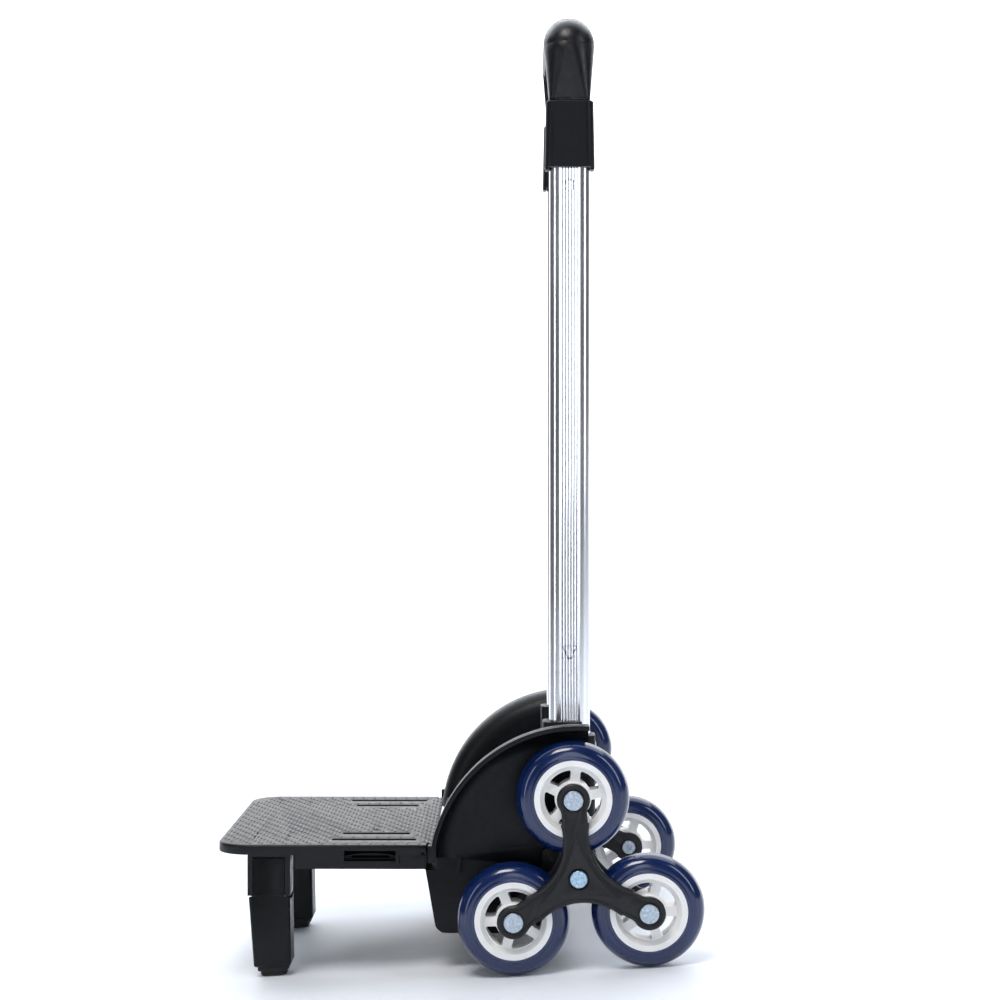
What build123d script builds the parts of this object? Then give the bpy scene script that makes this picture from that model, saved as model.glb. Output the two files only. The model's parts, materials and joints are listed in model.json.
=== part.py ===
from build123d import *
from math import asin, cos, degrees, radians, sin
import os

# Stair-climbing shopping trolley: folding load platform, telescopic twin-tube mast
# and a three-wheel rotating cluster on each end of one axle.
#
# Row frame (mm): Z up, ground at Z = 0, platform towards -Y, handle leaning back
# towards +Y, +X is the user's left.  Origin: centre of the footprint on the ground.

# ---------------------------------------------------------------- driving sizes
LEAN = radians(3.88)            # mast and platform lean back when the trolley is parked
WHEEL_R = 40.0                  # 80 mm tyre
WHEEL_W = 24.0
ARM = 55.0                      # axle to wheel centre in the three-wheel cluster
TRACK = 130.0                   # mid-plane of the trolley to mid-plane of the wheels
AXLE_R = 5.0
AXLE_Z = WHEEL_R + ARM * sin(radians(30))       # two wheels of each cluster stand on Z = 0

TOP = 17.7                      # platform top above the axle, in the leaning body frame
PLATE = 3.0                     # platform plate thickness
LIP_BOTTOM = 10.6               # underside of the rim around the platform
PLATFORM_FRONT = -259.6         # front edge, measured from the axle
PLATFORM_HALF = 113.0
CORNER_R = 24.0                 # rounded front corners
SKIRT_HALF = 105.0              # outer face of the platform skirt and of the chassis
SKIRT_BOTTOM = -1.0
WALL = 3.0                      # moulded wall thickness

REAR_REACH = ARM * cos(radians(30)) + WHEEL_R
FRONT_REACH = -(PLATFORM_FRONT * cos(LEAN) + LIP_BOTTOM * sin(LEAN))
AXLE_Y = (FRONT_REACH - REAR_REACH) / 2         # centres the footprint on the origin

MAST_Y = -4.0                   # centre of the mast tubes, from the axle
MAST_X = 52.0
TUBE_DEPTH, TUBE_WIDTH, TUBE_WALL = 30.4, 15.0, 1.6
INNER_DEPTH, INNER_WIDTH, INNER_WALL = 26.4, 11.0, 1.2
DECK = 18.0                     # top of the chassis
TUBE_TOP = 556.0
COLLAR_LOW, COLLAR_HIGH = 511.0, 560.0
GRIP_LOW = 562.0
CROWN = 631.5                   # top of the handle
LOCK_LOW, LOCK_HIGH = 171.0, 497.7              # lock holes; their distance is the handle stroke
LOCK_HOLE_R, LOCK_PIN_R = 4.5, 3.0

HINGE_Y, HINGE_Z, HINGE_R = -110.6, 11.0, 3.0   # platform hinge barrel, under the plate
HINGE_PIN_R = 1.5
RUN = 0.05                      # radial running clearance of every pin and bush

LEG_X, LEG_Z = 80.0, -4.0       # leg pivot, an axis along the body's Y
LEG_PIVOT_R = 8.5
LEG_PIN_R = 2.0
CHEEK_R = 22.5                  # lower end of the fork cheeks, round the leg pivot
LEG_FRONT, LEG_REAR = -239.0, -208.0            # leg width at the platform
LEG_INNER, LEG_OUTER = 66.0, 92.0
FOOT_HEIGHT = 8.0

GUARD_R = 105.5                 # outer radius of the wheel guard
GUARD_OUTER = 134.0             # outer rim of the wheel guard
GUARD_REAR = 8.0

# ------------------------------------------------------------------ planes
BODY = Plane(origin=(0, AXLE_Y, AXLE_Z), x_dir=(1, 0, 0), z_dir=(0, sin(LEAN), cos(LEAN)))
UP = Axis(BODY.origin, BODY.z_dir)
BACK = Axis(BODY.origin, BODY.y_dir)


def level(height):
    """Leaning plane across the mast: sketch x is X, sketch y points to the rear."""
    return BODY.offset(height)


def side(x):
    """Leaning plane facing +X: sketch x points to the rear, sketch y up the mast."""
    return Plane(origin=BODY.origin + Vector(x, 0, 0), x_dir=BODY.y_dir, z_dir=(1, 0, 0))


def facing(y):
    """Leaning plane facing the front: sketch x is X, sketch y up the mast."""
    return Plane(origin=BODY.origin + BODY.y_dir * y, x_dir=(1, 0, 0), z_dir=-BODY.y_dir)


def axle_plane(x):
    """Upright plane through the axle, facing +X: sketch x is Y, sketch y is Z."""
    return Plane(origin=(x, AXLE_Y, AXLE_Z), x_dir=(0, 1, 0), z_dir=(1, 0, 0))


def body_height(y, ground_height):
    """Body-frame height of the point at body y that is ground_height above the ground."""
    return (ground_height - AXLE_Z + y * sin(LEAN)) / cos(LEAN)


def save(piece, name):
    """Label a finished piece and write it as its own STEP."""
    piece.part.label = name
    export_step(piece.part, f"parts/{name}.step")


os.makedirs("parts", exist_ok=True)
SIDES = (("left", 1), ("right", -1))

# ---------------------------------------------------------------- wheels
HUB_R = 27.4                    # tyre seat
RING_IN, WINDOW_R = 23.4, 20.7  # flat hub ring, then a bevel down to the spoke windows
WEB_HALF = 7.0                  # half thickness of the spoked web
BOSS_R, WINDOW_IN = 12.5, 12.5
SPOKE_W = 6.8
BEARING_R, BEARING_W = 11.0, 7.0
BARREL_R = 3.95                 # wheel axle, running in the 8 mm bearing bore
FACE = WHEEL_W / 2
WHEELS = {"top": 90, "front": 210, "rear": 330}
SPOKE_PHASE = {"top": 8, "front": 36, "rear": 68}


def wheel_plane(sign, place):
    """Mid-plane of one wheel, facing +X: sketch x is Y, sketch y is Z."""
    angle = radians(WHEELS[place])
    return Plane(
        origin=(sign * TRACK, AXLE_Y + ARM * cos(angle), AXLE_Z + ARM * sin(angle)),
        x_dir=(0, 1, 0),
        z_dir=(1, 0, 0),
    )


def wheel_section(sign, place):
    """Plane that holds the wheel's axis: sketch x along the axle, sketch y the radius."""
    return Plane(origin=wheel_plane(sign, place).origin, x_dir=(1, 0, 0), z_dir=(0, -1, 0))


def wheel_axis(sign, place):
    return Axis(wheel_plane(sign, place).origin, (1, 0, 0))


for side_name, sign in SIDES:
    for place in WHEELS:
        with BuildPart() as tyre:
            with BuildSketch(wheel_section(sign, place)):
                with BuildLine():
                    Polyline((FACE - 0.6, 31.0), (FACE, 30.0), (FACE, HUB_R), (-FACE, HUB_R), (-FACE, 30.0),
                             (-FACE + 0.6, 31.0))
                    EllipticalCenterArc((0, 31.0), FACE - 0.6, WHEEL_R - 31.0, arc_size=180)
                make_face()
            revolve(axis=wheel_axis(sign, place))
        save(tyre, f"tyre_{side_name}_{place}")

        with BuildPart() as hub:
            with BuildSketch(wheel_section(sign, place)):
                with BuildLine():
                    Polyline(
                        (0, BEARING_R - 3), (FACE - BEARING_W, BEARING_R - 3),
                        (FACE - BEARING_W, BEARING_R),
                        (FACE, BEARING_R), (FACE, BOSS_R - 0.8), (FACE - 1.5, BOSS_R), (WEB_HALF, BOSS_R),
                        (WEB_HALF, WINDOW_R), (FACE - 1.2, RING_IN - 0.4), (FACE, RING_IN), (FACE, HUB_R),
                        (0, HUB_R), (0, BEARING_R - 3),
                    )
                make_face()
                mirror(about=Plane.YZ)
            revolve(axis=wheel_axis(sign, place))
            with BuildSketch(wheel_plane(sign, place).offset(-FACE)) as windows:
                half = degrees(SPOKE_W / 2 / WINDOW_R)
                inner = degrees(SPOKE_W / 2 / WINDOW_IN)
                for spoke in range(5):
                    start = SPOKE_PHASE[place] + 72 * spoke
                    with BuildLine():
                        outer_arc = CenterArc((0, 0), WINDOW_R - 0.6, start + half, 72 - 2 * half)
                        inner_arc = CenterArc((0, 0), WINDOW_IN + 0.4, start + inner, 72 - 2 * inner)
                        Line(outer_arc @ 0, inner_arc @ 0)
                        Line(outer_arc @ 1, inner_arc @ 1)
                    make_face()
                fillet(windows.vertices(), 1.2)
            extrude(amount=WHEEL_W, mode=Mode.SUBTRACT)
        save(hub, f"wheel_hub_{side_name}_{place}")

        with BuildPart() as bearing:
            with BuildSketch(wheel_section(sign, place)):
                for end in (1, -1):
                    with Locations((end * (FACE - BEARING_W / 2), (BEARING_R + 4) / 2)):
                        Rectangle(BEARING_W, BEARING_R - 4)
                    with Locations((end * (FACE - 0.2), 7.7)):
                        Rectangle(0.4, 3.6, mode=Mode.SUBTRACT)
            revolve(axis=wheel_axis(sign, place))
        save(bearing, f"wheel_bearings_{side_name}_{place}")

# ---------------------------------------------------------------- clusters
PLATE_IN = 1.3                  # gap between the wheel face and each cluster plate
SPIDER_T = 3.6                  # plate thickness
ARM_HALF = 9.0                  # half width of an arm
BOSS = 11.6                     # radius of the arm end
WAIST = 16.8                    # axle centre to the nearest point of a concave edge
ARC_CENTRE = (WAIST - ARM_HALF) / (1 - sin(radians(60)))
ARC_R = ARC_CENTRE - WAIST
PAD_R = 6.0                     # pad that touches the bearing's inner ring
HEAD_R, HEAD_RECESS = 6.9, 7.9
CAP_R, CAP_RECESS = 6.1, 7.6
BUSH_R = 9.5
SCREW_HEAD_R, SCREW_R = 5.5, 2.4
INNER_FACE = TRACK - FACE - PLATE_IN            # outer side of the inner plate
OUTER_FACE = TRACK + FACE + PLATE_IN            # inner side of the outer plate
ENDS = [(ARM * cos(radians(a)), ARM * sin(radians(a))) for a in WHEELS.values()]
EDGES = [30, 150, 270]          # directions of the concave edges
RIDGE_WAIST, RIDGE_TIP = 11.4, 32.0             # nearest and farthest points of the raised line
RIDGE_CENTRE = 95.0
RIDGE_WIDTH = 0.8


def spider_outline(grow=0.0):
    """Three-armed outline, grown outwards by the given amount."""
    with BuildSketch() as star:
        Circle(ARM * 0.72)
        for angle in EDGES:
            with Locations((ARC_CENTRE * cos(radians(angle)), ARC_CENTRE * sin(radians(angle)))):
                Circle(ARC_R - grow, mode=Mode.SUBTRACT)
        for angle in WHEELS.values():
            with Locations(Rotation(0, 0, angle)):
                with Locations((ARM / 2, 0)):
                    Rectangle(ARM, 2 * (ARM_HALF + grow))
        with Locations(*ENDS):
            Circle(BOSS + grow)
        near_boss = [v for v in star.vertices() if Vector(v).length > ARM * 0.8]
        fillet(near_boss, 9.0)
    return star.sketch


def ridge_line():
    """Raised line of the outer plate: a curved triangle whose tips point into the three arms."""
    with BuildSketch() as ridge:
        Circle(RIDGE_TIP)
        for angle in EDGES:
            with Locations((RIDGE_CENTRE * cos(radians(angle)), RIDGE_CENTRE * sin(radians(angle)))):
                Circle(RIDGE_CENTRE - RIDGE_WAIST, mode=Mode.SUBTRACT)
        offset(amount=-RIDGE_WIDTH, mode=Mode.SUBTRACT)
    return ridge.sketch


for side_name, sign in SIDES:
    with BuildPart() as inner_plate:
        with BuildSketch(axle_plane(sign * INNER_FACE)):
            add(spider_outline())
        extrude(amount=-sign * SPIDER_T)
        chamfer(inner_plate.faces().sort_by(Axis.X)[0 if sign > 0 else -1].edges(), 0.8)
        with BuildSketch(axle_plane(sign * INNER_FACE)):
            with Locations(*ENDS):
                Circle(PAD_R)
        extrude(amount=sign * (PLATE_IN - RUN))
        with BuildSketch(axle_plane(sign * (INNER_FACE - SPIDER_T))):
            Circle(AXLE_R + RUN)
            with Locations(*ENDS):
                Circle(SCREW_R + 0.1)
        extrude(amount=sign * WHEEL_W, mode=Mode.SUBTRACT)
    save(inner_plate, f"cluster_inner_plate_{side_name}")

    with BuildPart() as outer_plate:
        with BuildSketch(axle_plane(sign * OUTER_FACE)):
            add(spider_outline())
        extrude(amount=sign * SPIDER_T)
        outside = outer_plate.faces().sort_by(Axis.X)[-1 if sign > 0 else 0]
        chamfer(outside.edges(), 1.0)
        with BuildSketch(axle_plane(sign * (OUTER_FACE + SPIDER_T))):
            add(ridge_line())
        extrude(amount=sign * 0.5)
        with BuildSketch(axle_plane(sign * (OUTER_FACE + SPIDER_T))):
            add(spider_outline(grow=-2.6))
            add(spider_outline(grow=-3.5), mode=Mode.SUBTRACT)
        extrude(amount=-sign * 0.5, mode=Mode.SUBTRACT)
        with BuildSketch(axle_plane(sign * OUTER_FACE)):
            with Locations(*ENDS):
                Circle(PAD_R)
        extrude(amount=-sign * (PLATE_IN - RUN))
        with BuildSketch(axle_plane(sign * (OUTER_FACE - PLATE_IN))):
            Circle(AXLE_R + RUN)
            with Locations(*ENDS):
                Circle(BARREL_R)
        extrude(amount=sign * 10, mode=Mode.SUBTRACT)
        with BuildSketch(axle_plane(sign * (OUTER_FACE + SPIDER_T - 0.8))):
            with Locations(*ENDS):
                Circle(HEAD_RECESS)
        extrude(amount=sign * 3, mode=Mode.SUBTRACT)
        with BuildSketch(axle_plane(sign * (OUTER_FACE + 1.2))):
            Circle(CAP_RECESS)
        extrude(amount=sign * 5, mode=Mode.SUBTRACT)
    save(outer_plate, f"cluster_outer_plate_{side_name}")

    with BuildPart() as bush:
        with BuildSketch(axle_plane(sign * INNER_FACE)):
            Circle(BUSH_R)
            Circle(AXLE_R + RUN, mode=Mode.SUBTRACT)
        extrude(amount=sign * (OUTER_FACE - INNER_FACE))
    save(bush, f"cluster_bush_{side_name}")

    with BuildPart() as barrels:
        with BuildSketch(axle_plane(sign * (INNER_FACE + PLATE_IN))):
            with Locations(*ENDS):
                Circle(BARREL_R)
        extrude(amount=sign * (OUTER_FACE + SPIDER_T - 0.8 - INNER_FACE - PLATE_IN))
        with BuildSketch(axle_plane(sign * (OUTER_FACE + SPIDER_T - 0.8))):
            with Locations(*ENDS):
                Circle(HEAD_R)
        extrude(amount=sign * 1.9)
        heads = barrels.faces().sort_by(Axis.X)[-3:] if sign > 0 else barrels.faces().sort_by(Axis.X)[:3]
        fillet(heads.edges(), 0.7)
        with BuildSketch(axle_plane(sign * (INNER_FACE + PLATE_IN))):
            with Locations(*ENDS):
                Circle(SCREW_R)
        extrude(amount=sign * 14, mode=Mode.SUBTRACT)
    save(barrels, f"wheel_axles_{side_name}")

    with BuildPart() as screws:
        with BuildSketch(axle_plane(sign * (INNER_FACE - SPIDER_T))):
            with Locations(*ENDS):
                Circle(SCREW_HEAD_R)
        extrude(amount=-sign * 2.2)
        heads = screws.faces().sort_by(Axis.X)[:3] if sign > 0 else screws.faces().sort_by(Axis.X)[-3:]
        fillet(heads.edges(), 0.8)
        with BuildSketch(axle_plane(sign * (INNER_FACE - SPIDER_T))):
            with Locations(*ENDS):
                Circle(SCREW_R)
        extrude(amount=sign * 16)
        with BuildSketch(axle_plane(sign * (INNER_FACE - SPIDER_T - 2.2))):
            with Locations(*ENDS):
                RegularPolygon(2.6, 6)
        extrude(amount=sign * 1.8, mode=Mode.SUBTRACT)
    save(screws, f"wheel_axle_screws_{side_name}")

# ---------------------------------------------------------------- axle
AXLE_HALF = OUTER_FACE + SPIDER_T - 0.6
with BuildPart() as axle:
    with BuildSketch(axle_plane(-AXLE_HALF)):
        Circle(AXLE_R)
    extrude(amount=2 * AXLE_HALF)
    chamfer(axle.edges(), 0.5)
save(axle, "axle")

with BuildPart() as caps:
    for side_name, sign in SIDES:
        with BuildSketch(axle_plane(sign * (OUTER_FACE + 1.7))):
            Circle(CAP_R)
        extrude(amount=sign * 3.2)
    ends = caps.faces().filter_by(Axis.X).sort_by(Axis.X)
    fillet((ends[0].edges() + ends[-1].edges()), 0.7)
    with BuildSketch(axle_plane(-AXLE_HALF)):
        Circle(AXLE_R)
    extrude(amount=2 * AXLE_HALF, mode=Mode.SUBTRACT)
save(caps, "axle_caps")

# ---------------------------------------------------------------- chassis
CHASSIS_BOTTOM = -47.0
CHASSIS_REAR = 9.0
CHASSIS_FRONT = -100.5          # front of the deck, clear of the plate's rear edge as it folds
LEDGE = -1.6                    # ledge that the platform skirt rests over
HOUSING_X = 111.8               # outer face of the axle housing block
KNUCKLES = (20.0, 70.0)         # chassis hinge knuckle, from and to
PLATFORM_KNUCKLES = ((0.0, 19.5), (70.5, 100.0))
CHASSIS_SIDE = [
    (-109.0, LEDGE), (CHASSIS_FRONT, LEDGE), (CHASSIS_FRONT, DECK), (CHASSIS_REAR, DECK),
    (CHASSIS_REAR, -18.0), (-8.0, -22.0), (-16.0, CHASSIS_BOTTOM), (-101.0, CHASSIS_BOTTOM),
]
POCKET_SIDE = [
    (-98.4, LEDGE - WALL), (-98.4, DECK - WALL), (-16.0, DECK - WALL),
    (-19.5, CHASSIS_BOTTOM - 1), (-98.4, CHASSIS_BOTTOM - 1),
]
POCKETS = ((-102.0, -36.2), (-33.8, 33.8), (36.2, 102.0))
GUARD_SCREWS = [(-82.0, 11.2), (-40.0, 11.2)]
SCREW_SHANK = 1.5
BRACKET_SCREWS = [(-70.0, -20.0), (70.0, -20.0), (-70.0, 2.0), (70.0, 2.0)]

with BuildPart() as chassis:
    with BuildSketch(side(-SKIRT_HALF)) as profile:
        with BuildLine():
            Polyline(*CHASSIS_SIDE, close=True)
        make_face()
        corners = profile.vertices().group_by(Axis.Y)[0]
        fillet(corners.sort_by(Axis.X)[0], 8.0)
    extrude(amount=2 * SKIRT_HALF)
    for start, end in POCKETS:
        with BuildSketch(side(start)):
            with BuildLine():
                Polyline(*POCKET_SIDE, close=True)
            make_face()
        extrude(amount=end - start, mode=Mode.SUBTRACT)
    # axle housing block on each side, clear of the cluster's inner plate
    for side_name, sign in SIDES:
        with BuildSketch(side(sign * SKIRT_HALF)):
            with Locations((-8.0, -2.5)):
                RectangleRounded(34.0, 35.0, 3.0)
        extrude(amount=sign * (HOUSING_X - SKIRT_HALF))
        # hinge knuckle on an upright web in front of the deck
        with BuildSketch(side(sign * KNUCKLES[0])):
            with Locations((HINGE_Y, HINGE_Z)):
                Circle(HINGE_R)
            with BuildLine():
                Polyline(
                    (HINGE_Y - HINGE_R, HINGE_Z), (HINGE_Y + HINGE_R, HINGE_Z), (HINGE_Y + HINGE_R, LEDGE),
                    (-104.0, LEDGE - 2), (-104.0, LEDGE - 12), (HINGE_Y - HINGE_R, LEDGE - 4), close=True,
                )
            make_face()
        extrude(amount=sign * (KNUCKLES[1] - KNUCKLES[0]))
    # bores: axle, hinge pin, guard screws, mast bracket screws
    with BuildSketch(side(-HOUSING_X)):
        Circle(AXLE_R + RUN)
        with Locations((HINGE_Y, HINGE_Z)):
            Circle(HINGE_PIN_R + RUN)
    extrude(amount=2 * HOUSING_X, mode=Mode.SUBTRACT)
    for side_name, sign in SIDES:
        with BuildSketch(side(sign * 101.0)):
            with Locations(*GUARD_SCREWS):
                Circle(SCREW_SHANK + RUN)
        extrude(amount=sign * 5, mode=Mode.SUBTRACT)
    with BuildSketch(level(DECK - WALL)):
        with Locations(*BRACKET_SCREWS):
            Circle(SCREW_SHANK + RUN)
    extrude(amount=WALL, mode=Mode.SUBTRACT)
save(chassis, "chassis")

# ---------------------------------------------------------------- wheel guards
GUARD_WALL = 3.0
GUARD_SIDE = [
    (GUARD_REAR, 0), (GUARD_REAR, 120), (-120, 120), (-120, 10.3), (0, 0),
]
for side_name, sign in SIDES:
    with BuildPart() as guard:
        with BuildSketch(facing(0)) as section:
            with BuildLine():
                Polyline(
                    (sign * SKIRT_HALF, 0), (sign * SKIRT_HALF, GUARD_R), (sign * GUARD_OUTER, GUARD_R),
                    (sign * GUARD_OUTER, GUARD_R - GUARD_WALL),
                    (sign * (SKIRT_HALF + GUARD_WALL), GUARD_R - GUARD_WALL),
                    (sign * (SKIRT_HALF + GUARD_WALL), 0), close=True,
                )
            make_face()
            ordered = section.vertices().sort_by_distance((sign * SKIRT_HALF, GUARD_R))
            fillet(ordered[0], 15.0)
            inner_corner = (sign * (SKIRT_HALF + GUARD_WALL), GUARD_R - GUARD_WALL)
            fillet(section.vertices().sort_by_distance(inner_corner)[0], 12.0)
        revolve(axis=Axis(BODY.origin, (1, 0, 0)))
        with BuildSketch(side(-GUARD_OUTER)):
            with BuildLine():
                Polyline(*GUARD_SIDE, close=True)
            make_face()
        extrude(amount=2 * GUARD_OUTER, mode=Mode.INTERSECT)
        # notch that leaves the axle housing free
        with BuildSketch(side(-GUARD_OUTER)):
            with Locations((-8.5, 0)):
                Rectangle(35.0, 32.0)
        extrude(amount=2 * GUARD_OUTER, mode=Mode.SUBTRACT)
        # front tab of the rim and the snap that hooks over the chassis side
        with BuildSketch(side(sign * (GUARD_OUTER - 7.0))):
            with Locations((-103.1, 14.8)):
                Rectangle(5.6, 12.0)
        extrude(amount=sign * 7.4)
        with BuildSketch(side(sign * (SKIRT_HALF + 0.1))):
            with Locations((-85.0, 3.0)):
                Rectangle(3.0, 13.0)
        extrude(amount=sign * (GUARD_WALL + 0.8))
        with BuildSketch(side(sign * SKIRT_HALF)):
            with Locations(*GUARD_SCREWS):
                Circle(SCREW_SHANK + RUN)
        extrude(amount=sign * 2.4, mode=Mode.SUBTRACT)
    save(guard, f"wheel_guard_{side_name}")

with BuildPart() as guard_screws:
    for side_name, sign in SIDES:
        with BuildSketch(side(sign * 102.0)):
            with Locations(*GUARD_SCREWS):
                Circle(2.8)
        extrude(amount=-sign * 1.8)
        with BuildSketch(side(sign * 102.0)):
            with Locations(*GUARD_SCREWS):
                Circle(SCREW_SHANK)
        extrude(amount=sign * 5)
save(guard_screws, "guard_screws")

# ---------------------------------------------------------------- mast
BRACKET_HALF = 78.0
FLANGE = 5.0
SLEEVE_WIDTH = 24.6
SLEEVE_FRONT, SLEEVE_REAR = -24.0, 15.0
SLEEVE_TOP, SLEEVE_TOP_REAR = 100.0, 90.0
FIT = 0.1                       # clearance of the fixed tubes in their sleeves


def tube_outline(depth, width, grow=0.0):
    """Oval of the mast tubes: long way front to back."""
    SlotOverall(depth + 2 * grow, width + 2 * grow, rotation=90)


with BuildPart() as bracket:
    with BuildSketch(level(DECK)):
        with Locations((0, (SLEEVE_FRONT - 4 + CHASSIS_REAR) / 2)):
            RectangleRounded(2 * BRACKET_HALF, CHASSIS_REAR - SLEEVE_FRONT + 4, 4.0)
    extrude(amount=FLANGE)
    with BuildSketch(level(DECK)):
        with Locations(*[(x, (SLEEVE_FRONT + SLEEVE_REAR) / 2) for x in (-MAST_X, MAST_X)]):
            RectangleRounded(SLEEVE_WIDTH, SLEEVE_REAR - SLEEVE_FRONT, 6.0)
    extrude(amount=SLEEVE_TOP - DECK)
    # the rear wall of the sleeves is lower than the front wall
    with BuildSketch(side(-BRACKET_HALF)):
        with Locations((SLEEVE_REAR, (SLEEVE_TOP + SLEEVE_TOP_REAR) / 2 + 1)):
            Rectangle(20.0, SLEEVE_TOP - SLEEVE_TOP_REAR + 2)
    extrude(amount=2 * BRACKET_HALF, mode=Mode.SUBTRACT)
    # web between the sleeves, with an arched lower edge
    with BuildSketch(facing(-2.0)):
        with BuildLine():
            Polyline((-41, 84), (-41, 40), (-26, 40))
            ThreePointArc((-26, 40), (0, 58), (26, 40))
            Polyline((26, 40), (41, 40), (41, 84), (-41, 84))
        make_face()
    extrude(amount=5.0)
    with BuildSketch(level(DECK)):
        with Locations((-MAST_X, MAST_Y), (MAST_X, MAST_Y)):
            tube_outline(TUBE_DEPTH, TUBE_WIDTH, FIT)
    extrude(amount=SLEEVE_TOP, mode=Mode.SUBTRACT)
    with BuildSketch(level(DECK)):
        with Locations(*BRACKET_SCREWS):
            Circle(SCREW_SHANK + RUN)
    extrude(amount=FLANGE, mode=Mode.SUBTRACT)
save(bracket, "mast_bracket")

with BuildPart() as bracket_screws:
    with BuildSketch(level(DECK - WALL)):
        with Locations(*BRACKET_SCREWS):
            Circle(SCREW_SHANK)
    extrude(amount=WALL + FLANGE)
    with BuildSketch(level(DECK + FLANGE)):
        with Locations(*BRACKET_SCREWS):
            Circle(3.2)
    extrude(amount=2.0)
    heads = bracket_screws.faces().sort_by(UP)[-4:]
    fillet(heads.edges(), 0.8)
save(bracket_screws, "bracket_screws")

PANEL_WIDTH, PANEL_DEPTH = 14.6, 0.4            # sunk panel on the broad faces of the tube
GROOVES, GROOVE_PITCH, GROOVE_WIDTH, GROOVE_DEPTH = 6, 2.15, 0.9, 0.35
DIMPLE_TOP, DIMPLE_LOW = 156.5, 146.0           # pressed stop under the inner tube
DIMPLE_DEPTH = 1.6
for side_name, sign in SIDES:
    with BuildPart() as tube:
        with BuildSketch(level(DECK)):
            with Locations((sign * MAST_X, MAST_Y)):
                tube_outline(TUBE_DEPTH, TUBE_WIDTH)
            for face in (1, -1):
                skin = sign * MAST_X + face * TUBE_WIDTH / 2
                with Locations((skin, MAST_Y)):
                    Rectangle(2 * PANEL_DEPTH, PANEL_WIDTH, mode=Mode.SUBTRACT)
                    with GridLocations(0, GROOVE_PITCH, 1, GROOVES):
                        Rectangle(2 * (PANEL_DEPTH + GROOVE_DEPTH), GROOVE_WIDTH, mode=Mode.SUBTRACT)
            with Locations((sign * MAST_X, MAST_Y)):
                SlotOverall(TUBE_DEPTH - 2 * TUBE_WALL, TUBE_WIDTH - 2 * TUBE_WALL,
                            rotation=90, mode=Mode.SUBTRACT)
        extrude(amount=TUBE_TOP - DECK)
        # stop dimple: pushed in from the outer face, sharp at the top, fading downwards
        outer_skin = sign * (MAST_X + TUBE_WIDTH / 2)
        dimple = [(MAST_Y - 6, DIMPLE_TOP), (MAST_Y + 6, DIMPLE_TOP), (MAST_Y + 1.5, DIMPLE_LOW),
                  (MAST_Y - 1.5, DIMPLE_LOW)]
        with BuildSketch(side(outer_skin - sign * TUBE_WALL)):
            with BuildLine():
                Polyline(*dimple, close=True)
            make_face()
        extrude(amount=-sign * DIMPLE_DEPTH, taper=20)
        with BuildSketch(side(outer_skin)):
            with BuildLine():
                Polyline(*dimple, close=True)
            make_face()
        extrude(amount=-sign * DIMPLE_DEPTH, taper=25, mode=Mode.SUBTRACT)
        # lock holes: the upper one right through, the lower one only on the inner face
        with BuildSketch(side(sign * (MAST_X - TUBE_WIDTH))):
            with Locations((MAST_Y, LOCK_LOW)):
                Circle(LOCK_HOLE_R)
        extrude(amount=sign * TUBE_WIDTH, mode=Mode.SUBTRACT)
        with BuildSketch(side(sign * (MAST_X - TUBE_WIDTH))):
            with Locations((MAST_Y, LOCK_HIGH)):
                Circle(LOCK_HOLE_R)
        extrude(amount=sign * 2 * TUBE_WIDTH, mode=Mode.SUBTRACT)
    save(tube, f"mast_tube_{side_name}")

COLLAR_HALF_X = 62.7
COLLAR_INNER_X = 41.3
COLLAR_DEPTH_TOP, COLLAR_DEPTH_LOW = 35.2, 37.2
COLLAR_LIP, COLLAR_LIP_WALL = 1.4, 2.4          # raised lip round each inner tube
COLLAR_LIP_GAP = 0.4
with BuildPart() as bridge:
    for side_name, sign in SIDES:
        for height, depth in ((COLLAR_LOW, COLLAR_DEPTH_LOW), (COLLAR_HIGH, COLLAR_DEPTH_TOP)):
            with BuildSketch(level(height)):
                with Locations((sign * (COLLAR_HALF_X + COLLAR_INNER_X) / 2, MAST_Y)):
                    RectangleRounded(COLLAR_HALF_X - COLLAR_INNER_X, depth, 6.5)
        loft()
    with BuildSketch(level(COLLAR_LOW + 16)):
        with Locations((0, MAST_Y)):
            Rectangle(2 * COLLAR_INNER_X + 12, 24.0)
    extrude(amount=COLLAR_HIGH - COLLAR_LOW - 16)
    bridge_rim = bridge.edges().group_by(UP)[-1]
    fillet(bridge_rim, 1.2)
    # small lips under the front and rear of each sleeve
    for side_name, sign in SIDES:
        with BuildSketch(level(COLLAR_LOW - 1.6)):
            for end in (-1, 1):
                with Locations((sign * (COLLAR_HALF_X + COLLAR_INNER_X) / 2, MAST_Y + end * 16.9)):
                    RectangleRounded(12.0, 2.6, 1.2)
        extrude(amount=2.0)
    with BuildSketch(level(COLLAR_LOW - 2)):
        with Locations((-MAST_X, MAST_Y), (MAST_X, MAST_Y)):
            tube_outline(TUBE_DEPTH, TUBE_WIDTH, FIT)
    extrude(amount=TUBE_TOP - COLLAR_LOW + 2, mode=Mode.SUBTRACT)
    with BuildSketch(level(TUBE_TOP)):
        with Locations((-MAST_X, MAST_Y), (MAST_X, MAST_Y)):
            tube_outline(INNER_DEPTH, INNER_WIDTH, COLLAR_LIP_GAP + COLLAR_LIP_WALL)
    extrude(amount=COLLAR_HIGH + COLLAR_LIP - TUBE_TOP)
    with BuildSketch(level(TUBE_TOP - 1)):
        with Locations((-MAST_X, MAST_Y), (MAST_X, MAST_Y)):
            tube_outline(INNER_DEPTH, INNER_WIDTH, COLLAR_LIP_GAP)
    extrude(amount=10, mode=Mode.SUBTRACT)
save(bridge, "mast_collar")

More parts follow.
